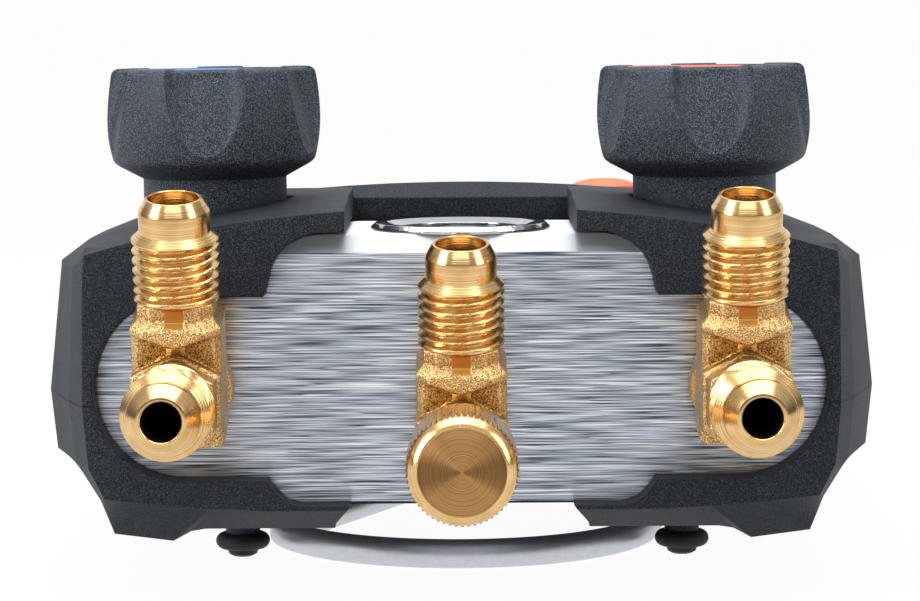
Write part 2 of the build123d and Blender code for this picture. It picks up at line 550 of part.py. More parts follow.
for name, hand in (("low_side", -1), ("high_side", 1)):
    place = Pos(hand * VALVE_X, at(D_VALVE), 0)
    turn = Rot(0, 0, -90 + hand * FLUTE_TURN)
    plunger_low = GALLERY_Z + 3 + 1.0
    plunger_top = plunger_low + PLUNGER_L
    nose_low = plunger_top - VALVE_LIFT + 0.1
    stem = turned([(0, nose_low), (SPINDLE_NOSE_R, nose_low), (SPINDLE_NOSE_R, BONNET_LOW_Z + 1.5),
                   (SPINDLE_R, BONNET_LOW_Z + 1.5), (SPINDLE_R, KNOB_LOW_Z + 3), (0, KNOB_LOW_Z + 3)])
    knob = knob_body() - stem
    PARTS[f"{name}_knob"] = place * turn * knob
    PARTS[f"{name}_knob_disc"] = place * turn * knob_disc()
    PARTS[f"{name}_spindle"] = place * stem
    bonnet = turned([
        (SPINDLE_R + RUN, BONNET_LOW_Z), (BONNET_R, BONNET_LOW_Z), (BONNET_R, BONNET_SEAT_Z),
        (BONNET_FLANGE_R, BONNET_SEAT_Z), (BONNET_FLANGE_R, BONNET_SEAT_Z + 2.5),
        (BONNET_NUT_R, BONNET_SEAT_Z + 2.5), (BONNET_NUT_R, BONNET_TOP_Z), (SPINDLE_R + RUN, BONNET_TOP_Z),
    ])
    PARTS[f"{name}_bonnet"] = place * bonnet
    PARTS[f"{name}_plunger"] = place * turned([
        (0, plunger_low - 0.8), (1.2, plunger_low - 0.8), (PLUNGER_R - 2, plunger_low + 1.0),
        (PLUNGER_R, plunger_low + 1.0), (PLUNGER_R, plunger_top), (SPINDLE_NOSE_R + RUN, plunger_top),
        (SPINDLE_NOSE_R + RUN, nose_low - VALVE_LIFT - 0.1), (0, nose_low - VALVE_LIFT - 0.1),
    ])

# ---------------------------------------------------------------- hook and posts
with BuildLine() as path:
    loop = CenterArc((0, at(D_LOOP)), LOOP_R, LOOP_FREE, LOOP_LEFT - LOOP_FREE)
    bend = JernArc(start=loop @ 1, tangent=loop % 1, radius=BEND_R, arc_size=-BEND_TURN)
    heading = bend % 1
    reach = -(bend @ 1).X / heading.X
    diagonal = Line(bend @ 1, bend @ 1 + heading * reach)
    stem = Line(diagonal @ 1, (0, at(D_PIVOT)))
    stem_turn = atan2(abs(heading.X), heading.Y)
    stem_room = min(stem.length, diagonal.length) / tan(stem_turn / 2)
    fillet([diagonal.vertices().sort_by(Axis.Y)[-1]], min(STEM_BEND_R, 0.9 * stem_room))
wire = Pos(0, 0, HOOK_Z) * path.line
tip = Plane(origin=wire @ 0, z_dir=wire % 0)
hook = sweep(tip * Circle(HOOK_ROD_R), path=wire)
hook += Pos(*(wire @ 0)) * Sphere(HOOK_ROD_R)
hook += rod_x(D_PIVOT, PIVOT_Z, -KNUCKLE_HALF, KNUCKLE_HALF, KNUCKLE_R)
hook -= rod_x(D_PIVOT, PIVOT_Z, -20, 20, PIN_R + RUN)
PARTS["folding_hook"] = hook

post_profile = [
    (0, 0), (TIP_R - 0.9, 0), (TIP_R - 0.25, 0.35), (TIP_R, RING_Z - RING_TUBE),
    (GROOVE_R, RING_Z - RING_TUBE), (GROOVE_R, RING_Z + RING_TUBE), (POST_R, RING_Z + RING_TUBE),
    (POST_R, POST_TOP_Z), (0, POST_TOP_Z),
]
rear -= both(rod_z(POST_X, D_POST, 0, POST_TOP_Z, POST_R))
posts = [Pos(hand * POST_X, at(D_POST), 0) * turned(post_profile) for hand in (-1, 1)]
rings = [Pos(hand * POST_X, at(D_POST), RING_Z) * Torus(GROOVE_R + RING_TUBE, RING_TUBE)
         for hand in (-1, 1)]
PARTS["hose_parking_posts"] = Compound(posts)
PARTS["parking_post_rings"] = Compound(rings)
PARTS["front_shell"] = front
PARTS["rear_shell"] = rear

# pressure sensors screwed into the back of the block
for name, hand in (("low_side", -1), ("high_side", 1)):
    sensor = rod_y(hand * SENSOR_X, SENSOR_Z, BLOCK_DEPTH, BLOCK_DEPTH + SENSOR_L, SENSOR_R)
    sensor += rod_y(hand * SENSOR_X, SENSOR_Z, BLOCK_DEPTH - 5, BLOCK_DEPTH, 3.5)
    PARTS[f"{name}_sensor"] = sensor

os.makedirs("parts", exist_ok=True)
for name, shape in PARTS.items():
    export_step(shape, f"parts/{name}.step")
    print(name, round(shape.volume, 1), shape.is_valid, len(shape.solids()))
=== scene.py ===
import bpy
import bmesh
import math
from mathutils import Matrix, Vector


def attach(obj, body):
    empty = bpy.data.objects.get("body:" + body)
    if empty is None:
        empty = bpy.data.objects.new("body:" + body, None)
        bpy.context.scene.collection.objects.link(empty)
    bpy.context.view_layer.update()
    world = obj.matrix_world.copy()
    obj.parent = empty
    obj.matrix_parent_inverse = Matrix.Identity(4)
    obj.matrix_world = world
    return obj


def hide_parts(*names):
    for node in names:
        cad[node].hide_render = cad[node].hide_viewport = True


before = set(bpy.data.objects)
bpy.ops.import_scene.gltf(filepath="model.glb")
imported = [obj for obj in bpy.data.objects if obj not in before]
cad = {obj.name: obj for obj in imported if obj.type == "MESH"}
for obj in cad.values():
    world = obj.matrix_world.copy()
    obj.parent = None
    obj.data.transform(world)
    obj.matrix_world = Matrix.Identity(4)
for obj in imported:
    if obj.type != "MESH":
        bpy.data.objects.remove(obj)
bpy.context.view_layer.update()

# ---------------------------------------------------------------- camera, floor and light
# A long lens looks slightly down at the hose ports. The gauge lies on a white sweep under a large
# overhead soft box, two side boxes and a front card.
MM = 0.001
BLOCK_FACE_Y = -76.5  # front face of the valve block, mm
CAMERA_ASIDE, CAMERA_BACK, CAMERA_HIGH = -0.125, 394.36, 77.09  # mm aside, before the block, up
CAMERA_DOWN, CAMERA_ASKEW, CAMERA_LENS = 5.311, -0.368, 118.03  # degrees, degrees, mm
SWEEP_HALF, SWEEP_FRONT, SWEEP_FLAT, SWEEP_BEND, SWEEP_TOP = 2.5, -2.0, 1.2, 0.6, 2.6  # metres
SWEEP_Z = -0.0001  # just clear of the gauge's pads
SWEEP_SEEN = 0.94  # share of pure white that the camera and the reflections get
STUDIO_AIM = (0, -0.05, 0.03)

camera = bpy.data.objects.new("camera", bpy.data.cameras.new("camera"))
bpy.context.collection.objects.link(camera)
camera.location = (CAMERA_ASIDE * MM, (BLOCK_FACE_Y - CAMERA_BACK) * MM, CAMERA_HIGH * MM)
tilt = Matrix.Rotation(math.radians(90 - CAMERA_DOWN), 4, "X")
camera.rotation_euler = (tilt @ Matrix.Rotation(math.radians(CAMERA_ASKEW), 4, "Z")).to_euler()
camera.data.sensor_width = 36.0
camera.data.lens = CAMERA_LENS
camera.data.clip_start = 0.01
bpy.context.scene.camera = camera
bpy.context.scene.view_settings.view_transform = "Standard"


class Wiring:
    """Nodes of one material, world or group, wired step by step; each step gives its result."""

    def __init__(self, tree):
        self.nodes, self.links = tree.nodes, tree.links

    def put(self, value, slot):
        """Set an input from another node's output, a colour or a number."""
        if isinstance(value, bpy.types.NodeSocket):
            self.links.new(value, slot)
        elif isinstance(value, tuple) and slot.type == "RGBA":
            slot.default_value = (*value[:3], 1)
        else:
            slot.default_value = value

    def maths(self, operation, *values):
        """Result of a Math node."""
        step = self.nodes.new("ShaderNodeMath")
        step.operation = operation
        for value, slot in zip(values, step.inputs):
            self.put(value, slot)
        return step.outputs[0]

    def stretch(self, value, start, stop, low=0.0, high=1.0):
        """Value moved from one range to another and held at its ends."""
        step = self.nodes.new("ShaderNodeMapRange")
        self.put(value, step.inputs["Value"])
        for label, number in (("From Min", start), ("From Max", stop), ("To Min", low), ("To Max", high)):
            step.inputs[label].default_value = number
        return step.outputs["Result"]

    def between(self, share, one, other):
        """Colour between two tones."""
        step = self.nodes.new("ShaderNodeMix")
        step.data_type = "RGBA"
        self.put(share, step.inputs["Factor"])
        self.put(one, step.inputs[6])
        self.put(other, step.inputs[7])
        return step.outputs[2]

    def axes(self, vector):
        """The X, Y and Z of a vector."""
        step = self.nodes.new("ShaderNodeSeparateXYZ")
        self.links.new(vector, step.inputs[0])
        return step.outputs


def new_finish(name, colour, roughness, metallic=0.0):
    """Material, its wiring, and its main shader set to plain values."""
    material = bpy.data.materials.new(name)
    material.use_nodes = True
    wiring = Wiring(material.node_tree)
    shader = wiring.nodes["Principled BSDF"]
    shader.inputs["Base Color"].default_value = (*colour, 1)
    shader.inputs["Roughness"].default_value = roughness
    shader.inputs["Metallic"].default_value = metallic
    return material, wiring, shader


def white_paper():
    """Matt white paper that the camera and the reflections see as pure white."""
    material, wiring, paper = new_finish("white_sweep", (0.5, 0.5, 0.5), 0.9)
    glow = wiring.nodes.new("ShaderNodeEmission")
    glow.inputs["Color"].default_value = (1, 1, 1, 1)
    glow.inputs["Strength"].default_value = 1.02
    path = wiring.nodes.new("ShaderNodeLightPath").outputs
    mirrored = wiring.maths("MAXIMUM", path["Is Glossy Ray"], path["Is Transmission Ray"])
    seen = wiring.maths("MAXIMUM", path["Is Camera Ray"], mirrored)
    both = wiring.nodes.new("ShaderNodeMixShader")
    wiring.put(wiring.maths("MULTIPLY", seen, SWEEP_SEEN), both.inputs[0])
    wiring.put(paper.outputs[0], both.inputs[1])
    wiring.put(glow.outputs[0], both.inputs[2])
    wiring.put(both.outputs[0], wiring.nodes["Material Output"].inputs["Surface"])
    return material


def white_sweep():
    """Floor that curves up behind the gauge."""
    rows = [(SWEEP_FRONT, SWEEP_Z), (SWEEP_FLAT, SWEEP_Z)]
    for step in range(1, 9):
        turn = math.radians(step * 90 / 8)
        rows.append((SWEEP_FLAT + SWEEP_BEND * math.sin(turn), SWEEP_BEND - SWEEP_BEND * math.cos(turn)))
    rows.append((SWEEP_FLAT + SWEEP_BEND, SWEEP_TOP))
    points = [(x, y, z) for y, z in rows for x in (-SWEEP_HALF, SWEEP_HALF)]
    faces = [(2 * i, 2 * i + 1, 2 * i + 3, 2 * i + 2) for i in range(len(rows) - 1)]
    mesh = bpy.data.meshes.new("white_sweep")
    mesh.from_pydata(points, [], faces)
    for face in mesh.polygons:
        face.use_smooth = True
    mesh.materials.append(white_paper())
    sweep = bpy.data.objects.new("white_sweep", mesh)
    bpy.context.collection.objects.link(sweep)


def soft_box(name, place, aim, width, height, power):
    """Rectangular lamp pointed at a spot."""
    lamp = bpy.data.lights.new(name, "AREA")
    lamp.shape = "RECTANGLE"
    lamp.size, lamp.size_y = width, height
    lamp.energy = power
    holder = bpy.data.objects.new(name, lamp)
    holder.location = place
    holder.rotation_euler = (Vector(aim) - Vector(place)).to_track_quat("-Z", "Y").to_euler()
    bpy.context.collection.objects.link(holder)


def studio_walls():
    """Dim walls round a bright ceiling, which give the metals something dark to show.

    The camera itself sees them white.
    """
    world = bpy.data.worlds.new("studio")
    world.use_nodes = True
    bpy.context.scene.world = world
    wiring = Wiring(world.node_tree)
    direction = wiring.nodes.new("ShaderNodeTexCoord").outputs["Generated"]
    level = wiring.nodes.new("ShaderNodeValToRGB")
    wiring.put(wiring.stretch(wiring.axes(direction)["Z"], -1.0, 1.0), level.inputs["Fac"])
    ramp = level.color_ramp
    ramp.elements[0].position, ramp.elements[0].color = 0.0, (0.25, 0.25, 0.25, 1)
    ramp.elements[1].position, ramp.elements[1].color = 1.0, (0.75, 0.76, 0.78, 1)
    for position, value in ((0.46, 0.12), (0.56, 0.1), (0.72, 0.55)):
        ramp.elements.new(position).color = (value, value, value * 1.03, 1)
    path = wiring.nodes.new("ShaderNodeLightPath").outputs
    background = wiring.nodes["Background"]
    seen = wiring.between(path["Is Camera Ray"], level.outputs["Color"], (1.09, 1.09, 1.09))
    wiring.put(seen, background.inputs["Color"])
    background.inputs["Strength"].default_value = 0.9


white_sweep()
soft_box("top_box", (0.0, -0.05, 0.8), (0, -0.05, 0.02), 0.9, 0.8, 8.0)
soft_box("left_box", (-0.75, -0.45, 0.4), STUDIO_AIM, 0.3, 0.6, 6.5)
soft_box("right_box", (0.75, -0.45, 0.4), STUDIO_AIM, 0.3, 0.6, 2.6)
soft_box("front_card", (0.0, -1.0, 0.55), STUDIO_AIM, 1.0, 0.25, 1.6)
studio_walls()

# ---------------------------------------------------------------- front and rear shells
# The case is two mouldings in black glass-filled nylon with a spark-eroded grain. They meet at a
# fine parting line and are held by six screws from the back.
PARTING_Z = 27.2
GROOVE_IN, GROOVE_OUT = 0.1, 0.22  # half width of the groove at its bottom and at its top
CASE_DARK, CASE_PALE = (0.0040, 0.0050, 0.0066), (0.11, 0.127, 0.155)
GRAIN_ASKEW = (0.62, 0.41, 0.87)  # turns the specks' lattice across every face of the case


def group_with(name, takes, gives):
    """Shader node group with named inputs and outputs."""
    group = bpy.data.node_groups.new(name, "ShaderNodeTree")
    for label, kind, value in takes:
        socket = group.interface.new_socket(name=label, in_out="INPUT", socket_type=kind)
        socket.default_value = value
    for label, kind in gives:
        group.interface.new_socket(name=label, in_out="OUTPUT", socket_type=kind)
    enter = group.nodes.new("NodeGroupInput").outputs
    leave = group.nodes.new("NodeGroupOutput").inputs
    return group, Wiring(group), enter, leave


SKIN = [("Color", "NodeSocketColor"), ("Roughness", "NodeSocketFloat"), ("Height", "NodeSocketFloat")]


def place_on(wiring):
    """Where a point is on its piece, in metres."""
    return wiring.nodes.new("ShaderNodeTexCoord").outputs["Object"]


def noise(wiring, place, scale, detail=2.0):
    """Soft noise, from 0 to 1."""
    step = wiring.nodes.new("ShaderNodeTexNoise")
    step.inputs["Scale"].default_value = scale
    step.inputs["Detail"].default_value = detail
    wiring.put(place, step.inputs["Vector"])
    return step.outputs["Fac"]


def openness(wiring, reach, samples, start, stop, alone=False):
    """How open a point is to its surroundings: 0 in a hollow, 1 outside."""
    step = wiring.nodes.new("ShaderNodeAmbientOcclusion")
    step.samples = samples
    step.only_local = alone
    step.inputs["Distance"].default_value = reach
    return wiring.stretch(step.outputs["AO"], start, stop)


def bump_normal(wiring, height, depth, shader, edge=0.0):
    """Height on the shader's normal, over softly rounded edges."""
    bump = wiring.nodes.new("ShaderNodeBump")
    bump.inputs["Distance"].default_value = depth
    bump.inputs["Strength"].default_value = 1.0
    wiring.put(height, bump.inputs["Height"])
    if edge:
        round_edge = wiring.nodes.new("ShaderNodeBevel")
        round_edge.samples = 6
        round_edge.inputs["Radius"].default_value = edge
        wiring.put(round_edge.outputs["Normal"], bump.inputs["Normal"])
    wiring.put(bump.outputs["Normal"], shader.inputs["Normal"])


def moulded_grain_group():
    """Spark-eroded grain: pale and dark specks, and the height that makes them."""
    group, wiring, enter, leave = group_with(
        "moulded_grain",
        [
            ("Dark", "NodeSocketColor", (0.02, 0.021, 0.023, 1)),
            ("Pale", "NodeSocketColor", (0.05, 0.052, 0.056, 1)),
            ("Grains per Metre", "NodeSocketFloat", 2600.0),
            ("Roughness", "NodeSocketFloat", 0.55),
        ],
        SKIN,
    )
    place = place_on(wiring)
    askew = wiring.nodes.new("ShaderNodeMapping")
    askew.inputs["Rotation"].default_value = GRAIN_ASKEW
    wiring.put(place, askew.inputs["Vector"])
    speck = wiring.nodes.new("ShaderNodeTexVoronoi")
    wiring.put(askew.outputs["Vector"], speck.inputs["Vector"])
    wiring.put(enter["Grains per Metre"], speck.inputs["Scale"])
    near = wiring.stretch(speck.outputs["Distance"], 0.62, 0.16)
    lots = wiring.nodes.new("ShaderNodeSeparateColor")
    wiring.put(speck.outputs["Color"], lots.inputs[0])
    crumb = wiring.maths("MULTIPLY", near, wiring.maths("POWER", lots.outputs[0], 1.3))
    cloud = noise(wiring, place, 60.0, 3.0)
    wiring.put(wiring.between(crumb, enter["Dark"], enter["Pale"]), leave["Color"])
    wiring.put(wiring.maths("MULTIPLY_ADD", cloud, 0.16, enter["Roughness"]), leave["Roughness"])
    wiring.put(crumb, leave["Height"])
    return group


moulded_grain = moulded_grain_group()


def grained_shader(name, dark, pale, roughness, grains=7600.0, depth=0.00008, edge=0.0006, gloss=0.5):
    """Moulding with its spark-eroded grain and painted shade in its hollows; gives its colour too."""
    material, wiring, shader = new_finish(name, dark, roughness)
    shader.inputs["Specular IOR Level"].default_value = gloss
    if gloss < 0.5:
        shader.inputs["Specular Tint"].default_value = (0.72, 0.86, 1.0, 1)
    grain = wiring.nodes.new("ShaderNodeGroup")
    grain.node_tree = moulded_grain
    wiring.put(dark, grain.inputs["Dark"])
    wiring.put(pale, grain.inputs["Pale"])
    wiring.put(grains, grain.inputs["Grains per Metre"])
    wiring.put(roughness, grain.inputs["Roughness"])
    # painted shade: ambient occlusion within 3 mm darkens the colour in hollows to 0.4 of the dark tone
    outside_painted_shade = openness(wiring, 3.0 * MM, 6, 0.35, 0.85)
    colour = wiring.between(outside_painted_shade, tuple(0.4 * tone for tone in dark), grain.outputs["Color"])
    wiring.put(colour, shader.inputs["Base Color"])
    wiring.put(grain.outputs["Roughness"], shader.inputs["Roughness"])
    bump_normal(wiring, grain.outputs["Height"], depth, shader, edge)
    return material, wiring, shader, colour


def case_plastic():
    """The shells' plastic, with the parting line's fine groove at its height."""
    material, wiring, shader, colour = grained_shader("case_plastic", CASE_DARK, CASE_PALE, 0.5, gloss=0.3)
    height = wiring.axes(place_on(wiring))["Z"]
    away = wiring.maths("ABSOLUTE", wiring.maths("SUBTRACT", height, PARTING_Z * MM))
    groove = wiring.stretch(away, GROOVE_IN * MM, GROOVE_OUT * MM)
    wiring.put(wiring.between(groove, (0.0015, 0.0015, 0.0015), colour), shader.inputs["Base Color"])
    return material


def finish_nodes(material, *names):
    """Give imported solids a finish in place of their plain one."""
    for name in names:
        mesh = cad[name].data
        mesh.materials.clear()
        mesh.materials.append(material)


finish_nodes(case_plastic(), "front_shell", "rear_shell")

# ---------------------------------------------------------------- valve block
# One billet of aluminium, milled to shape and brushed across its width on a belt. The belt leaves
# long bright and dark hairlines. The bevel along the top edge and every other face that leans upwards carry
# a painted highlight: a pale plain tone.


def vector_step(wiring, operation, *values):
    """Vector Math node."""
    step = wiring.nodes.new("ShaderNodeVectorMath")
    step.operation = operation
    for value, slot in zip(values, step.inputs):
        wiring.put(value, slot)
    return step


def blend(wiring, share, one, other):
    """Value between two values."""
    step = wiring.nodes.new("ShaderNodeMix")
    wiring.put(share, step.inputs["Factor"])
    wiring.put(one, step.inputs[2])
    wiring.put(other, step.inputs[3])
    return step.outputs[0]


def brushed_group():
    """Hairlines along X: a tone, a roughness and a height."""
    group, wiring, enter, leave = group_with(
        "brushed_hairlines",
        [
            ("Lines per Metre", "NodeSocketFloat", 3000.0),
            ("Streak Length", "NodeSocketFloat", 45.0),
            ("Low", "NodeSocketColor", (0.2, 0.21, 0.23, 1)),
            ("High", "NodeSocketColor", (0.75, 0.76, 0.78, 1)),
        ],
        SKIN,
    )
    place = place_on(wiring)

    def streaks(length_share, lines_share, detail, shift):
        """One layer of hairlines, moved so that no two layers agree."""
        crowding = wiring.nodes.new("ShaderNodeCombineXYZ")
        across = wiring.maths("MULTIPLY", enter["Lines per Metre"], lines_share)
        wiring.put(wiring.maths("MULTIPLY", enter["Streak Length"], length_share), crowding.inputs["X"])
        wiring.put(across, crowding.inputs["Y"])
        wiring.put(across, crowding.inputs["Z"])
        scaled = vector_step(wiring, "MULTIPLY", place, crowding.outputs[0])
        moved = vector_step(wiring, "ADD", scaled.outputs[0], (shift, shift * 1.7, shift * 0.3))
        layer = noise(wiring, moved.outputs[0], 1.0, detail)
        layer.node.inputs["Roughness"].default_value = 0.65
        return layer

    lines = blend(wiring, 0.3, streaks(1.5, 1.0, 0.0, 3.1), streaks(0.5, 0.38, 1.0, 17.3))
    level = wiring.stretch(lines, 0.38, 0.62)
    sparse = wiring.stretch(streaks(1.1, 0.85, 0.0, 41.7), 0.63, 0.69)
    tone = wiring.between(level, enter["Low"], enter["High"])
    wiring.put(wiring.between(sparse, tone, (0.95, 0.96, 0.98)), leave["Color"])
    wiring.put(wiring.stretch(level, 0.0, 1.0, 0.5, 0.3), leave["Roughness"])
    wiring.put(lines, leave["Height"])
    return group


brushed_hairlines = brushed_group()


def round_marks(wiring, shader, axis):
    """Make a metal shine across the tool marks that run round or along an axis."""
    marks = wiring.nodes.new("ShaderNodeTangent")
    marks.direction_type = "RADIAL"
    marks.axis = axis
    wiring.put(marks.outputs["Tangent"], shader.inputs["Tangent"])
    shader.inputs["Anisotropic"].default_value = 0.9


def brushed_metal(name, low, high, lines, length, depth, edge):
    """Metal brushed along X. Faces that lean upwards get a painted highlight, a pale plain tone in place of
    the hairlines, and are a little rougher.
    """
    material, wiring, shader = new_finish(name, high, 0.35, 1.0)
    round_marks(wiring, shader, "X")
    hair = wiring.nodes.new("ShaderNodeGroup")
    hair.node_tree = brushed_hairlines
    wiring.put(lines, hair.inputs["Lines per Metre"])
    wiring.put(length, hair.inputs["Streak Length"])
    wiring.put(low, hair.inputs["Low"])
    wiring.put(high, hair.inputs["High"])
    lie = wiring.nodes.new("ShaderNodeNewGeometry").outputs["True Normal"]
    upward_painted_light = wiring.stretch(wiring.axes(lie)["Z"], 0.25, 0.4)
    # painted highlight: faces that lean upwards take a pale plain tone
    colour = wiring.between(upward_painted_light, hair.outputs["Color"], (0.74, 0.76, 0.79))
    wiring.put(colour, shader.inputs["Base Color"])
    wiring.put(blend(wiring, upward_painted_light, hair.outputs["Roughness"], 0.68), shader.inputs["Roughness"])
    bump_normal(wiring, hair.outputs["Height"], depth, shader, edge)
    return material


aluminium = brushed_metal(
    "brushed_aluminium", (0.09, 0.11, 0.145), (0.62, 0.67, 0.74), 8200.0, 90.0, 0.00002, 0.0003
)
finish_nodes(aluminium, "valve_block")

# ---------------------------------------------------------------- sight glass
# A glass disc on a rubber ring, held in the top of the block by a chromed screwed ring. The dark
# well under it shows whether the refrigerant runs with bubbles.


def chrome_ring():
    """Polished chrome, a little uneven."""
    material, wiring, shader = new_finish("polished_chrome", (0.52, 0.54, 0.58), 0.06, 1.0)
    swirl = noise(wiring, place_on(wiring), 220.0, 3.0)
    wiring.put(wiring.stretch(swirl, 0.0, 1.0, 0.04, 0.14), shader.inputs["Roughness"])
    bump_normal(wiring, swirl, 0.00025, shader, 0.0002)
    return material


def clear_glass():
    """Pressed glass with faint ripples."""
    material, wiring, shader = new_finish("sight_glass", (0.9, 0.95, 0.95), 0.02)
    shader.inputs["Transmission Weight"].default_value = 1.0
    shader.inputs["IOR"].default_value = 1.5
    bump_normal(wiring, noise(wiring, place_on(wiring), 90.0), 0.00003, shader)
    return material


finish_nodes(chrome_ring(), "sight_glass_ring")
finish_nodes(clear_glass(), "sight_glass_window")

# ---------------------------------------------------------------- flare elbows
# Three brass forgings. Each has its two flare ends turned and screw-cut, bright from the tool,
# while the body between them keeps the forging's sandy skin. A shank screws into the block.
PORT_PITCH, SIDE_PORT_Z, CENTRE_PORT_Z = 36.1, 29.3, 23.3
CROSSING_Y = BLOCK_FACE_Y - 9.5  # where the two arms' axes cross
ELBOW_CROSSING = {
    "low_side_elbow": (-PORT_PITCH, CROSSING_Y, SIDE_PORT_Z),
    "service_elbow": (0.0, CROSSING_Y, CENTRE_PORT_Z),
    "high_side_elbow": (PORT_PITCH, CROSSING_Y, SIDE_PORT_Z),
}
ARM_LEAN = 13.0  # degrees that the upper arm leans towards the user
ARM_END = 26.5  # crossing to the lip of an arm
THREAD_R, THREAD_PITCH, THREAD_DEPTH = 5.54, 1.27, 0.72
THREAD_FROM, THREAD_TO, THREAD_ROWS = 13.5, 21.2, 92
PILOT_R, NECK_R, DEEP_BORE_R = 4.53, 4.75, 2.5
FRONT_LIP_R, FRONT_BORE_R, UPPER_LIP_R, UPPER_BORE_R = 2.95, 2.5, 3.5, 3.2
COLLAR_HALF = 5.78
SHANK_R, SHANK_FROM, SHANK_TO = 6.25, -9.6, -5.0


def turned_brass():
    """Bright brass with the tool's fine rings round the arm's own axis."""
    material, wiring, shader = new_finish("turned_brass", (0.80, 0.50, 0.19), 0.22, 1.0)
    place = place_on(wiring)
    axes = wiring.axes(place)
    flat = wiring.nodes.new("ShaderNodeCombineXYZ")
    wiring.put(axes["X"], flat.inputs["X"])
    wiring.put(axes["Y"], flat.inputs["Y"])
    rings = wiring.nodes.new("ShaderNodeCombineXYZ")
    wiring.put(axes["Z"], rings.inputs["X"])
    wiring.put(vector_step(wiring, "LENGTH", flat.outputs[0]).outputs["Value"], rings.inputs["Y"])
    lines = noise(wiring, rings.outputs[0], 5200.0, 2.0)
    level = wiring.stretch(blend(wiring, 0.45, lines, noise(wiring, place, 300.0, 4.0)), 0.3, 0.65)
    wiring.put(wiring.between(level, (0.48, 0.255, 0.07), (0.88, 0.61, 0.29)), shader.inputs["Base Color"])
    wiring.put(wiring.stretch(level, 0.0, 1.0, 0.3, 0.16), shader.inputs["Roughness"])
    bump_normal(wiring, lines, 0.000012, shader)
    return material


def forged_brass():
    """The forging's sandy skin with painted shade in its sunken panels, and a smooth flat down the neck's
    front.
    """
    material, wiring, shader = new_finish("forged_brass", (0.7, 0.42, 0.15), 0.33, 1.0)
    place = place_on(wiring)
    sand = noise(wiring, place, 5600.0, 1.0)
    axes = wiring.axes(place)
    # the flat is 2.5 mm wide and starts 9.3 mm up, on the side that faces the user
    flat = wiring.stretch(wiring.maths("ABSOLUTE", axes["X"]), 1.35 * MM, 1.15 * MM)
    flat = wiring.maths("MULTIPLY", flat, wiring.stretch(axes["Z"], 9.2 * MM, 9.4 * MM))
    flat = wiring.maths("MULTIPLY", flat, wiring.stretch(axes["Y"], -5 * MM, -5.2 * MM))
    level = wiring.stretch(sand, 0.38, 0.62)
    # painted shade: ambient occlusion turns the sunken panels to a dark brown sand
    outside_panel_shade = openness(wiring, 3.0 * MM, 8, 0.7, 0.98, alone=True)
    painted_panel_shade = wiring.between(level, (0.13, 0.05, 0.010), (0.62, 0.36, 0.10))
    tone = wiring.between(outside_panel_shade, painted_panel_shade, wiring.between(level, (0.34, 0.165, 0.045), (0.92, 0.66, 0.32)))
    wiring.put(wiring.between(flat, tone, (0.55, 0.25, 0.055)), shader.inputs["Base Color"])
    sandy = wiring.maths("MULTIPLY", sand, wiring.maths("SUBTRACT", 1.0, flat))
    bump_normal(wiring, sandy, 0.00014, shader)
    return material


def shadowed_bore():
    """Painted shade for the drilled bore: a near-black brown brass, faintly mottled."""
    material, wiring, shader = new_finish("shadowed_bore", (0.03, 0.018, 0.008), 0.6, 0.4)
    mottle = noise(wiring, place_on(wiring), 700.0)
    tone = wiring.between(mottle, (0.006, 0.003, 0.002), (0.03, 0.016, 0.007))
    wiring.put(tone, shader.inputs["Base Color"])
    bump_normal(wiring, mottle, 0.00003, shader)
    return material


bright_brass, sandy_brass, painted_bore_shade = turned_brass(), forged_brass(), shadowed_bore()


def ring_skin(name, rings, material):
    """Object whose skin joins rings of points, given in millimetres."""
    around = len(rings[0])
    faces = []
    for row in range(len(rings) - 1):
        for step in range(around):
            a, b = row * around + step, row * around + (step + 1) % around
            faces.append((a, b, b + around, a + around))
    mesh = bpy.data.meshes.new(name)
    mesh.from_pydata([(x * MM, y * MM, z * MM) for ring in rings for x, y, z in ring], [], faces)
    mesh.materials.append(material)
    piece = bpy.data.objects.new(name, mesh)
    bpy.context.collection.objects.link(piece)
    return piece


def lathe(name, rows, material, around=96, radius_at=None):
    """Turned mesh along local Z from (radius, height) rows in millimetres."""
    turns = [2 * math.pi * step / around for step in range(around)]
    rings = []
    for radius, height in rows:
        ring = []
        for turn in turns:
            r = radius_at(radius, height, turn) if radius_at else radius
            ring.append((r * math.cos(turn), r * math.sin(turn), height))
        rings.append(ring)
    return ring_skin(name, rings, material)


def crisp(piece, angle=28.0):
    """Smooth shading that keeps the machined edges."""
    for face in piece.data.polygons:
        face.use_smooth = True
    form = bmesh.new()
    form.from_mesh(piece.data)
    bmesh.ops.recalc_face_normals(form, faces=form.faces)
    for edge in form.edges:
        if len(edge.link_faces) == 2 and edge.calc_face_angle(0.0) > math.radians(angle):
            edge.smooth = False
    form.to_mesh(piece.data)
    form.free()


def thread_radius(radius, height, turn):
    """Screw thread cut into a cylinder, run out at both ends."""
    if radius < THREAD_R - 0.001 or not THREAD_FROM < height < THREAD_TO:
        return radius
    phase = (height / THREAD_PITCH - turn / (2 * math.pi)) % 1.0
    crest = abs(2 * phase - 1)
    cut = THREAD_DEPTH * min(1.0, max(0.0, (0.9 - crest) / 0.78))
    fade = min(1.0, (height - THREAD_FROM) / 0.8, (THREAD_TO - height) / 0.5)
    return radius - cut * max(0.0, fade)


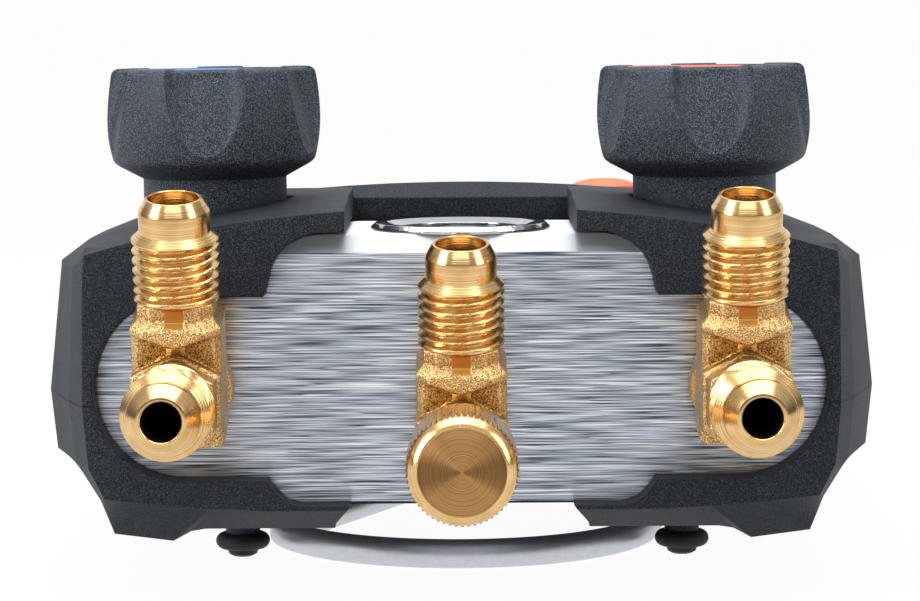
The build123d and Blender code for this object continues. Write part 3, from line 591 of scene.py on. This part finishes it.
def flare_end(name, lip_r, bore_r, material):
    """Neck, thread, chamfer, pilot, 45 degree seat, lip and bore of one flare end."""
    rows = [(NECK_R, 7.0), (NECK_R, 12.6), (NECK_R + 0.1, 12.9), (THREAD_R - 0.15, 13.3)]
    for step in range(THREAD_ROWS + 1):
        rows.append((THREAD_R, THREAD_FROM + (THREAD_TO - THREAD_FROM) * step / THREAD_ROWS))
    rows += [(THREAD_R - 0.15, 21.35), (PILOT_R + 0.1, 22.05), (PILOT_R, 22.15), (PILOT_R, 24.75)]
    rows += [(PILOT_R - 0.06, 24.95), (lip_r + 0.1, ARM_END - 0.05), (lip_r - 0.05, ARM_END)]
    rows += [(bore_r + 0.1, ARM_END), (bore_r, ARM_END - 0.1), (bore_r, 24.5)]
    rows += [(DEEP_BORE_R, 23.9), (DEEP_BORE_R, 6.0), (0.01, 6.0)]
    piece = lathe(name, rows, material, 96, thread_radius)
    piece.data.materials.append(painted_bore_shade)
    # bore faces below this depth take the painted shade
    painted_shade_below = ARM_END - 0.6 if bore_r == FRONT_BORE_R else ARM_END - 2.9
    for face in piece.data.polygons:
        middle = face.center
        if middle.z < painted_shade_below * MM and math.hypot(middle.x, middle.y) < (bore_r + 0.01) * MM:
            face.material_index = 1
    crisp(piece)
    return piece


def octagon(half, chamfer, squash=1.0):
    """Corners of a square with cut corners."""
    c = chamfer
    ring = [(half, c - half), (half, half - c), (half - c, half), (c - half, half)]
    ring += [(-x, -y) for x, y in ring]
    return [(x, y * squash) for x, y in ring]


def along_forward(corners, start, stop, shrink=1.0):
    """Points of a prism along the front arm, as (x, forward, up)."""
    return [(x, start, z) for x, z in corners] + [(x * shrink, stop, z * shrink) for x, z in corners]


def along_upward(corners, start, stop, shrink=1.0):
    """Points of a prism along the leaning upper arm, as (x, forward, up)."""
    s, c = math.sin(math.radians(ARM_LEAN)), math.cos(math.radians(ARM_LEAN))
    points = []
    for height, k in ((start, 1.0), (stop, shrink)):
        points += [(x * k, height * s + f * k * c, height * c - f * k * s) for x, f in corners]
    return points


def forging_mesh():
    """Body of an elbow: the two collars, the sunken panels between them and the waisted neck."""
    gable = [(5.75, 3.3), (0.7, 5.9), (-0.7, 5.9), (-5.75, 3.3)]
    gable += [(-5.75, -3.6), (-3.3, -5.8), (3.3, -5.8), (5.75, -3.6)]
    waist = [(5.75, -4.1), (5.75, 3.6), (4.9, 4.6), (-4.9, 4.6)]
    waist += [(-5.75, 3.6), (-5.75, -4.1), (-4.5, -5.3), (4.5, -5.3)]
    ridge_end = [(0.35, 8.1, 6.75), (-0.35, 8.1, 6.75)]
    hulls = [
        along_forward(octagon(5.6, 1.4), -6.3, 4.8),
        along_forward(gable, 4.2, 7.3),
        along_forward(gable, 7.3, 8.0, 0.9),
        along_forward([(x * 0.9, z * 0.9) for x, z in gable], 7.9, 12.5),
        along_upward(waist, -5.5, 10.0),
        along_upward(octagon(COLLAR_HALF, 1.6), 9.7, 10.5) + ridge_end,
        along_upward(octagon(COLLAR_HALF, 1.6), 10.5, 11.5, 0.85),
        along_upward(octagon(4.86, 1.7), 11.0, 13.4),
    ]
    form = bmesh.new()
    for points in hulls:
        corners = [form.verts.new((x, -f, z)) for x, f, z in points]
        hull = bmesh.ops.convex_hull(form, input=corners)
        loose = [v for v in hull["geom_interior"] if isinstance(v, bmesh.types.BMVert)]
        bmesh.ops.delete(form, geom=loose, context="VERTS")
    bmesh.ops.recalc_face_normals(form, faces=form.faces)
    rough = bpy.data.meshes.new("elbow_forging")
    form.to_mesh(rough)
    form.free()
    body = bpy.data.objects.new("elbow_forging", rough)
    bpy.context.collection.objects.link(body)
    skin = body.modifiers.new("skin", "REMESH")
    skin.mode, skin.voxel_size = "VOXEL", 0.17
    soften = body.modifiers.new("soften", "SMOOTH")
    soften.factor, soften.iterations = 0.5, 6
    baked = bpy.data.meshes.new_from_object(body.evaluated_get(bpy.context.evaluated_depsgraph_get()))
    bpy.data.objects.remove(body, do_unlink=True)
    opened = bmesh.new()  # both ends, where the bores run in
    opened.from_mesh(baked)
    up = Vector((0, -math.sin(math.radians(ARM_LEAN)), math.cos(math.radians(ARM_LEAN))))
    ends = []
    for vertex in opened.verts:
        height = vertex.co.dot(up)
        if (-vertex.co.y > 11.0 and math.hypot(vertex.co.x, vertex.co.z) < 3.6) or (
            height > 11.6 and (vertex.co - up * height).length < 3.6
        ):
            ends.append(vertex)
    bmesh.ops.delete(opened, geom=ends, context="VERTS")
    opened.to_mesh(baked)
    opened.free()
    for vertex in baked.vertices:
        vertex.co *= MM
    for face in baked.polygons:
        face.use_smooth = True
    return baked


def place_elbows():
    """Forging, two flare ends and shank of each elbow, set where its arms cross."""
    forging = forging_mesh()
    forging.materials.clear()
    forging.materials.append(sandy_brass)
    to_front = Matrix.Rotation(math.radians(90), 4, "X")
    to_top = Matrix.Rotation(math.radians(ARM_LEAN), 4, "X")
    shank_rows = [(0.01, SHANK_FROM), (SHANK_R, SHANK_FROM), (SHANK_R, SHANK_TO), (0.01, SHANK_TO)]
    for node, crossing in ELBOW_CROSSING.items():
        place = Matrix.Translation(Vector(crossing) * MM)
        stem = node.replace("_elbow", "")
        body = bpy.data.objects.new(f"{stem}_elbow_forging", forging)
        bpy.context.collection.objects.link(body)
        body.matrix_world = place
        front = flare_end(f"{stem}_front_flare", FRONT_LIP_R, FRONT_BORE_R, bright_brass)
        front.matrix_world = place @ to_front
        upper = flare_end(f"{stem}_upper_flare", UPPER_LIP_R, UPPER_BORE_R, bright_brass)
        upper.matrix_world = place @ to_top
        shank = lathe(f"{stem}_elbow_shank", shank_rows, sandy_brass)
        crisp(shank)
        shank.matrix_world = place @ to_front
        for piece in (body, front, upper, shank):
            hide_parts(node)
            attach(piece, "case")


place_elbows()

# ---------------------------------------------------------------- sealing cap
# A turned brass cap with a straight knurl keeps dirt out of the middle hose port. Its end face
# has the fine rings of a facing cut, and a soft washer inside seals on the flare's lip.
CAP_R, CAP_LENGTH, CAP_FACE_R, CAP_BORE_R = 6.84, 12.4, 5.4, 5.61
CAP_FACE_Y = BLOCK_FACE_Y - 38.0
KNURLS, KNURL_DEPTH, KNURL_FROM, KNURL_TO = 56, 0.2, -CAP_LENGTH + 0.5, -1.6


def faced_brass():
    """End face cut in a lathe: fine rings, with a painted reflection that tones the face darker to the left
    and right than above and below.
    """
    material, wiring, shader = new_finish("faced_brass", (0.5, 0.3, 0.13), 0.36, 1.0)
    round_marks(wiring, shader, "Z")
    shader.inputs["Anisotropic Rotation"].default_value = 0.25
    flat = vector_step(wiring, "MULTIPLY", place_on(wiring), (1, 1, 0)).outputs[0]
    radius = vector_step(wiring, "LENGTH", flat).outputs["Value"]
    rings = wiring.nodes.new("ShaderNodeTexNoise")
    rings.noise_dimensions = "1D"
    rings.inputs["Scale"].default_value = 6500.0
    rings.inputs["Detail"].default_value = 1.0
    wiring.put(radius, rings.inputs["W"])
    aside = wiring.axes(vector_step(wiring, "NORMALIZE", flat).outputs[0])["X"]
    # painted reflection: a fixed darker tone to the sides of the face, by angle round its centre
    painted_bow_tie = wiring.stretch(wiring.maths("MULTIPLY", aside, aside), 0.55, 1.0, 0.0, 0.62)
    painted_bow_tie.node.interpolation_type = "SMOOTHSTEP"
    tone = wiring.between(rings.outputs["Fac"], (0.24, 0.115, 0.035), (0.66, 0.38, 0.15))
    wiring.put(wiring.between(painted_bow_tie, tone, (0.11, 0.045, 0.015)), shader.inputs["Base Color"])
    bump_normal(wiring, rings.outputs["Fac"], 0.000012, shader)
    return material


def knurled(radius, height, turn):
    """Radius of the cap's grip between its two plain ends."""
    if radius < CAP_R - 0.02 or not KNURL_FROM < height < KNURL_TO:
        return radius
    return radius - KNURL_DEPTH * (0.5 - 0.5 * math.cos(turn * KNURLS)) ** 0.7


def sealing_cap():
    """Face, bevel, knurled grip and bore, turned in one."""
    rows = [(0.01, 0.0), (3.0, 0.0), (5.25, 0.0), (5.3, -0.03), (5.38, 0.0), (5.5, -0.02)]
    rows += [(6.35, -0.85), (6.55, -1.15), (6.62, -1.4), (CAP_R, -1.65), (CAP_R, -5.0), (CAP_R, -9.0)]
    rows += [(CAP_R, -CAP_LENGTH + 0.4), (6.5, -CAP_LENGTH), (CAP_BORE_R, -CAP_LENGTH), (CAP_BORE_R, -6.0)]
    cap = lathe("sealing_cap_knurled", rows, bright_brass, KNURLS * 6, knurled)
    cap.data.materials.append(faced_brass())
    for face in cap.data.polygons:
        if face.center.z > -0.06 * MM and math.hypot(face.center.x, face.center.y) < CAP_FACE_R * MM:
            face.material_index = 1
    crisp(cap, 40)
    place = Matrix.Translation((0, CAP_FACE_Y * MM, CENTRE_PORT_Z * MM))
    cap.matrix_world = place @ Matrix.Rotation(math.radians(90), 4, "X")
    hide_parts("sealing_cap")
    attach(cap, "cap")


sealing_cap()

# ---------------------------------------------------------------- hand knobs and valves
# Five-fluted knobs moulded in the case's black plastic, coarser in grain. A coloured disc in each
# top tells the low side from the high side. Under them are the brass bonnets and steel spindles.
KNOB_AXIS_X, KNOB_AXIS_Y = 33.6, BLOCK_FACE_Y + 20.0
KNOB_TURNS = {"low_side": 0.0, "high_side": 1.2}  # degrees that a flute is turned from the front
KNOB_LEAN, KNOB_SINK = 0.6, 0.16  # each stands a touch out of true on its threaded spindle
KNOB_FOOT = 50.0  # height that a knob leans from
KNOB_FLUTES, KNOB_FLUTE_HALF, KNOB_FLUTE_DEPTH = 5, 5.35, 3.0
KNOB_FLUTE_LOW, KNOB_FLUTE_FULL = 59.3, 69.6
KNOB_WAIST_Z, KNOB_WAIST_R = 64.3, 14.6
KNOB_SIDE_TOP, KNOB_TOP = 70.1, 71.0
KNOB_DISC_R, KNOB_RIM_R, KNOB_WELL_Z = 10.6, 10.85, 69.4
RIM_DIP, RIM_DIP_FROM = 0.45, 69.5
SKIRT_R, SKIRT_BORE_R, SKIRT_BOTTOM = 9.8, 8.3, 50.4
FLUTE_COLUMNS, LOBE_COLUMNS, FLUTE_ROWS = 30, 26, 30


def grained_plastic(*finish, **details):
    """Material of a moulding that needs nothing more than its grain and the painted shade in its hollows.
    """
    return grained_shader(*finish, **details)[0]


knob_plastic = grained_plastic(
    "knob_plastic", (0.006, 0.0074, 0.0098), (0.27, 0.31, 0.37), 0.44, 6800.0, 0.0001, edge=0.0, gloss=0.45
)


def barrel(height):
    """Radius of the knob's side, swelling a little at mid height."""
    rise = (height - KNOB_WAIST_Z) / 6.4
    return KNOB_WAIST_R - (0.6 if rise > 0 else 0.95) * rise * rise


def knob_columns(height):
    """Angle and flute share of each column at a height: the flutes' edges stay on columns."""
    share = max(0.0, min(1.0, (height - KNOB_FLUTE_LOW) / (KNOB_FLUTE_FULL - KNOB_FLUTE_LOW)))
    half = max(0.15, KNOB_FLUTE_HALF * math.sqrt(1 - (1 - share) ** 2))
    edge = math.asin(half / barrel(height))
    pitch = 2 * math.pi / KNOB_FLUTES
    columns = []
    for flute in range(KNOB_FLUTES):
        for step in range(FLUTE_COLUMNS):
            across = math.sin(math.pi * (step / FLUTE_COLUMNS - 0.5))
            columns.append((flute * pitch + edge * across, share**0.85 * (1 - across**4) ** 0.62))
        for step in range(LOBE_COLUMNS):
            along = step / LOBE_COLUMNS
            columns.append((flute * pitch + edge + (pitch - 2 * edge) * along, 0.0))
    return columns


def knob_mesh(name):
    """Skirt, cone, scooped sides, rounded rim and the well for the disc."""
    rows = [("round", SKIRT_BORE_R, 57.1), ("round", SKIRT_BORE_R, SKIRT_BOTTOM)]
    rows += [("round", SKIRT_R - 0.1, SKIRT_BOTTOM), ("round", SKIRT_R, SKIRT_BOTTOM + 0.1)]
    rows += [("round", SKIRT_R, 55.9), ("round", SKIRT_R + 0.06, 56.05), ("round", 13.0, 57.75)]
    rows += [("round", 13.5, 58.12), ("side", 0.04, 58.45), ("side", 0.0, 58.8)]
    for step in range(FLUTE_ROWS + 1):
        share = 1 - math.cos(math.pi / 2 * step / FLUTE_ROWS)
        rows.append(("side", 0.0, KNOB_FLUTE_LOW + (KNOB_FLUTE_FULL - KNOB_FLUTE_LOW) * share))
    rows += [("side", 0.0, KNOB_SIDE_TOP), ("side", 0.06, 70.35), ("side", 0.2, 70.6), ("side", 0.5, 70.85)]
    rows += [("side", 0.9, KNOB_TOP), ("round", KNOB_RIM_R, KNOB_TOP)]
    rows += [("round", KNOB_DISC_R, KNOB_TOP - 0.15), ("round", KNOB_DISC_R, KNOB_WELL_Z)]
    rows += [("round", 0.01, KNOB_WELL_Z)]
    rings = []
    for kind, size, height in rows:
        side_height = min(height, KNOB_SIDE_TOP)
        ring = []
        for turn, scoop in knob_columns(side_height):
            radius, z = size, height
            if kind == "side":
                radius = barrel(side_height) - KNOB_FLUTE_DEPTH * scoop
                radius -= size * min(1.0, (radius - KNOB_RIM_R) / 2.0)
            if height > RIM_DIP_FROM and size != KNOB_DISC_R:
                # the rim dips where a flute comes through it
                z -= RIM_DIP * scoop * (height - RIM_DIP_FROM) / (KNOB_TOP - RIM_DIP_FROM)
            ring.append((radius * math.cos(turn), radius * math.sin(turn), z))
        rings.append(ring)
    piece = ring_skin(name, rings, knob_plastic)
    crisp(piece, 30)
    return piece


def place_knob(side_name, hand):
    """Knob of one valve, on its axis and leaning a touch to the left."""
    knob = knob_mesh(f"{side_name}_fluted_knob")
    foot = Matrix.Translation((0, 0, KNOB_FOOT * MM))
    lean = foot @ Matrix.Rotation(-math.radians(KNOB_LEAN), 4, "Y") @ foot.inverted()
    turned_to = Matrix.Rotation(math.radians(-90 + KNOB_TURNS[side_name]), 4, "Z")
    stand = Matrix.Translation((hand * KNOB_AXIS_X * MM, KNOB_AXIS_Y * MM, -KNOB_SINK * MM))
    knob.matrix_world = stand @ lean @ turned_to
    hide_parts(f"{side_name}_knob")
    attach(knob, f"{side_name}_valve")


place_knob("low_side", -1)
place_knob("high_side", 1)
blue_disc = grained_plastic("blue_disc", (0.02, 0.11, 0.30), (0.035, 0.16, 0.40), 0.4, 1500.0, 0.00002)
red_disc = grained_plastic("red_disc", (0.50, 0.06, 0.04), (0.62, 0.09, 0.06), 0.4, 1500.0, 0.00002)
bright_steel = brushed_metal(
    "bright_steel", (0.35, 0.36, 0.38), (0.66, 0.67, 0.69), 2500.0, 400.0, 0.00001, 0.0002
)
finish_nodes(blue_disc, "low_side_knob_disc")
finish_nodes(red_disc, "high_side_knob_disc")
for side_name in KNOB_TURNS:
    finish_nodes(bright_brass, f"{side_name}_bonnet", f"{side_name}_plunger")
    finish_nodes(bright_steel, f"{side_name}_spindle", f"{side_name}_sensor")

# ---------------------------------------------------------------- display and keys
# A clear window in the deck, dark round its edge, over a reflective display. Below it are the
# board with its switches and four silicone-topped keys, one of them domed and orange.
PANE_Y, PANE_HALF_W, PANE_HALF_L = BLOCK_FACE_Y + 133.0, 35.0, 28.0


def display_window():
    """Glossy window, its edge printed dark round the pale pane."""
    material, wiring, shader = new_finish("display_window", (0.012, 0.014, 0.016), 0.08)
    shader.inputs["Coat Weight"].default_value = 1.0
    shader.inputs["Coat Roughness"].default_value = 0.03
    place = place_on(wiring)
    axes = wiring.axes(place)

    def within(axis, middle, half):
        """1 in a band across the window, 0 outside it."""
        away = wiring.maths("ABSOLUTE", wiring.maths("SUBTRACT", axes[axis], middle * MM))
        return wiring.maths("LESS_THAN", away, half * MM)

    pane = wiring.maths("MULTIPLY", within("X", 0.0, PANE_HALF_W), within("Y", PANE_Y, PANE_HALF_L))
    grey = wiring.between(noise(wiring, place, 4000.0), (0.16, 0.18, 0.165), (0.20, 0.225, 0.205))
    wiring.put(wiring.between(pane, (0.008, 0.009, 0.01), grey), shader.inputs["Base Color"])
    return material


display_film = grained_plastic("display_film", (0.2, 0.23, 0.21), (0.25, 0.28, 0.26), 0.4, 3000.0, 0.00001)
solder_resist = grained_plastic(
    "solder_resist", (0.01, 0.09, 0.04), (0.015, 0.14, 0.06), 0.35, 900.0, 0.00002
)
orange_skin = grained_plastic(
    "orange_key_skin", (0.78, 0.16, 0.07), (0.9, 0.22, 0.1), 0.42, 3000.0, 0.00003
)
grey_skin = grained_plastic(
    "grey_key_skin", (0.05, 0.052, 0.056), (0.075, 0.078, 0.083), 0.45, 3000.0, 0.00003
)
finish_nodes(display_window(), "display_window")
finish_nodes(display_film, "lcd_module")
finish_nodes(solder_resist, "circuit_board")
finish_nodes(orange_skin, "power_key")
finish_nodes(grey_skin, "menu_key_1", "menu_key_2", "menu_key_3")

# ---------------------------------------------------------------- batteries and lid
# Four AA cells side by side in a moulded tray, behind a lid in the case's own plastic that lifts
# out of the back.
tray_plastic = grained_plastic("tray_plastic", (0.012, 0.012, 0.013), (0.02, 0.02, 0.022), 0.5, 2600.0)
cell_sleeve = grained_plastic("cell_sleeve", (0.12, 0.13, 0.15), (0.16, 0.17, 0.19), 0.3, 500.0, 0.00001)
finish_nodes(tray_plastic, "battery_tray", "key_switches", "probe_sockets")
finish_nodes(cell_sleeve, "battery_cells")
finish_nodes(grained_plastic("lid_plastic", CASE_DARK, CASE_PALE, 0.5, gloss=0.3), "battery_lid")

# ---------------------------------------------------------------- hook
# Bent from 4.1 mm steel wire with a satin finish, brazed to a knuckle that turns on a pin between
# the two ears of a black bracket.


def satin_wire():
    """Tumbled steel with a fine, even haze."""
    material, wiring, shader = new_finish("satin_steel", (0.45, 0.46, 0.48), 0.4, 0.8)
    haze = noise(wiring, place_on(wiring), 900.0, 4.0)
    wiring.put(wiring.between(haze, (0.6, 0.63, 0.68), (0.78, 0.80, 0.84)), shader.inputs["Base Color"])
    wiring.put(wiring.stretch(haze, 0.0, 1.0, 0.38, 0.5), shader.inputs["Roughness"])
    bump_normal(wiring, haze, 0.00001, shader)
    return material


finish_nodes(satin_wire(), "folding_hook", "hook_pin", "case_screws")
finish_nodes(knob_plastic, "hook_bracket", "hose_parking_posts")

# ---------------------------------------------------------------- rubber rings and pads
# Thick O-rings on the parking posts grip a parked hose, and four soft pads keep the back off the
# bench. The sight glass's seal and the cap's washer are out of sight.
rubber = grained_plastic(
    "black_rubber", (0.008, 0.008, 0.009), (0.018, 0.018, 0.019), 0.6, 1800.0, 0.00003, 0.0002
)
washer = grained_plastic("white_washer", (0.7, 0.7, 0.68), (0.78, 0.78, 0.76), 0.4, 1200.0, 0.00002)
finish_nodes(rubber, "parking_post_rings", "foot_pads", "sight_glass_seal")
finish_nodes(washer, "cap_gasket")
